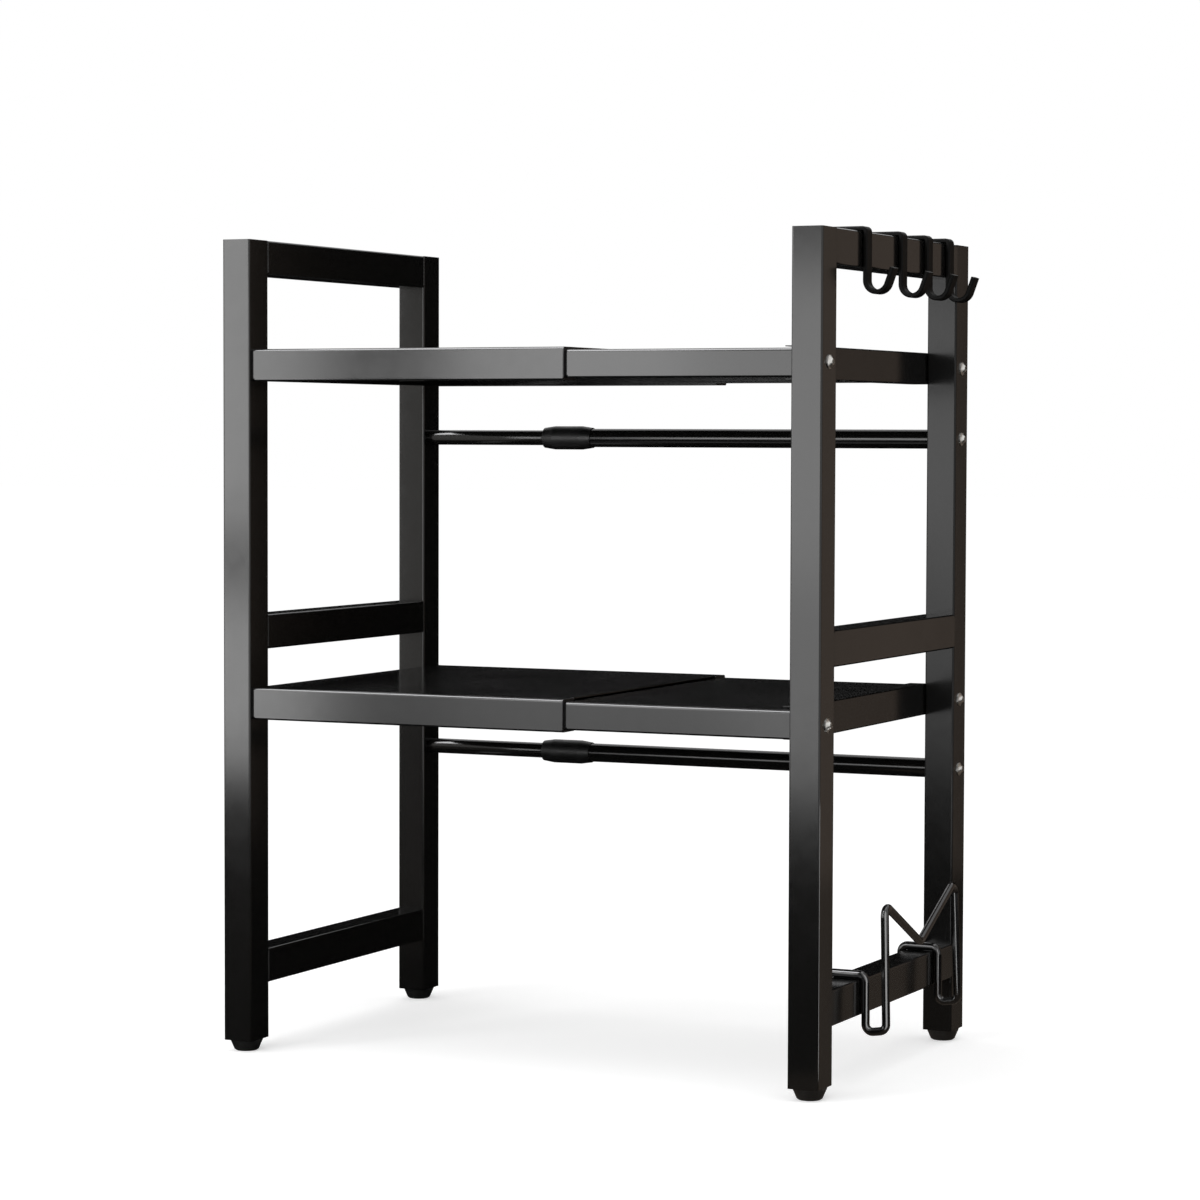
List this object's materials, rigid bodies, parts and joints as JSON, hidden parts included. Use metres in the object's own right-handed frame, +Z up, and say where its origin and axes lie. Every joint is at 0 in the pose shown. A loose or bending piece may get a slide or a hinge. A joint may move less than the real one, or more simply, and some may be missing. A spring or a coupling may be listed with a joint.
{
  "type": "microwave stand",
  "caption": "Open two-shelf microwave stand with side frames of steel tube, telescoping width, side hooks and a wire board holder.",
  "frame": {"origin": "on the floor, at the middle of the whole part's box seen from above", "axes": "+X to the right seen from the front, +Y to the back, +Z up; the front faces -Y"},
  "size_m": [0.6754, 0.404, 0.8163],
  "materials": {
    "frame_coat": "black powder coat, satin",
    "deck_coat": "black powder coat, smooth satin",
    "wire_coat": "glossy black enamel",
    "hook_plastic": "smooth black plastic",
    "foot_plastic": "black moulded plastic",
    "guide_plastic": "black nylon",
    "bright_steel": "zinc-plated steel"
  },
  "bodies": {
    "left_half": {"left_bottom_rail": "frame_coat", "left_front_foot": "foot_plastic", "left_front_post": "frame_coat", "left_guard_rail": "frame_coat", "left_rear_foot": "foot_plastic", "left_rear_post": "frame_coat", "left_rod_plugs": "bright_steel", "left_screws": "bright_steel", "left_top_rail": "frame_coat", "left_weld_nuts": "bright_steel", "lower_back_rod_inner": "frame_coat", "lower_front_glide": "guide_plastic", "lower_outer_deck": "deck_coat", "lower_outer_end_channel": "frame_coat", "lower_outer_front_channel": "frame_coat", "lower_outer_rear_channel": "frame_coat", "lower_outer_stiffener": "frame_coat", "lower_rear_glide": "guide_plastic", "lower_rod_tip": "guide_plastic", "upper_back_rod_inner": "frame_coat", "upper_front_glide": "guide_plastic", "upper_outer_deck": "deck_coat", "upper_outer_end_channel": "frame_coat", "upper_outer_front_channel": "frame_coat", "upper_outer_rear_channel": "frame_coat", "upper_outer_stiffener": "frame_coat", "upper_rear_glide": "guide_plastic", "upper_rod_tip": "guide_plastic"},
    "right_half": {"lower_back_rod_outer": "frame_coat", "lower_inner_deck": "deck_coat", "lower_inner_end_channel": "frame_coat", "lower_inner_front_channel": "frame_coat", "lower_inner_rear_channel": "frame_coat", "lower_inner_stiffeners": "frame_coat", "lower_rod_collar": "guide_plastic", "right_bottom_rail": "frame_coat", "right_front_foot": "foot_plastic", "right_front_post": "frame_coat", "right_guard_rail": "frame_coat", "right_rear_foot": "foot_plastic", "right_rear_post": "frame_coat", "right_rod_plugs": "bright_steel", "right_screws": "bright_steel", "right_top_rail": "frame_coat", "right_weld_nuts": "bright_steel", "upper_back_rod_outer": "frame_coat", "upper_inner_deck": "deck_coat", "upper_inner_end_channel": "frame_coat", "upper_inner_front_channel": "frame_coat", "upper_inner_rear_channel": "frame_coat", "upper_inner_stiffeners": "frame_coat", "upper_rod_collar": "guide_plastic"},
    "first_hook": {"hook_1": "hook_plastic"},
    "second_hook": {"hook_2": "hook_plastic"},
    "third_hook": {"hook_3": "hook_plastic"},
    "fourth_hook": {"hook_4": "hook_plastic"},
    "holder": {"board_holder": "wire_coat"}
  },
  "joints": [
    {"name": "width_slide", "type": "slide", "parent": "left_half", "child": "right_half", "axis": [1, 0, 0], "range_m": [-0.135, 0]},
    {"name": "hook_1_slide", "type": "slide", "parent": "right_half", "child": "first_hook", "axis": [0, 1, 0], "range_m": [-0.0629, 0.0401]},
    {"name": "hook_2_slide", "type": "slide", "parent": "right_half", "child": "second_hook", "axis": [0, 1, 0], "range_m": [-0.0401, 0.0284]},
    {"name": "hook_3_slide", "type": "slide", "parent": "right_half", "child": "third_hook", "axis": [0, 1, 0], "range_m": [-0.0284, 0.0232]},
    {"name": "hook_4_slide", "type": "slide", "parent": "right_half", "child": "fourth_hook", "axis": [0, 1, 0], "range_m": [-0.0232, 0.0196]},
    {"name": "holder_slide", "type": "slide", "parent": "right_half", "child": "holder", "axis": [0, 1, 0], "range_m": [-0.0695, 0.0465]}
  ]
}
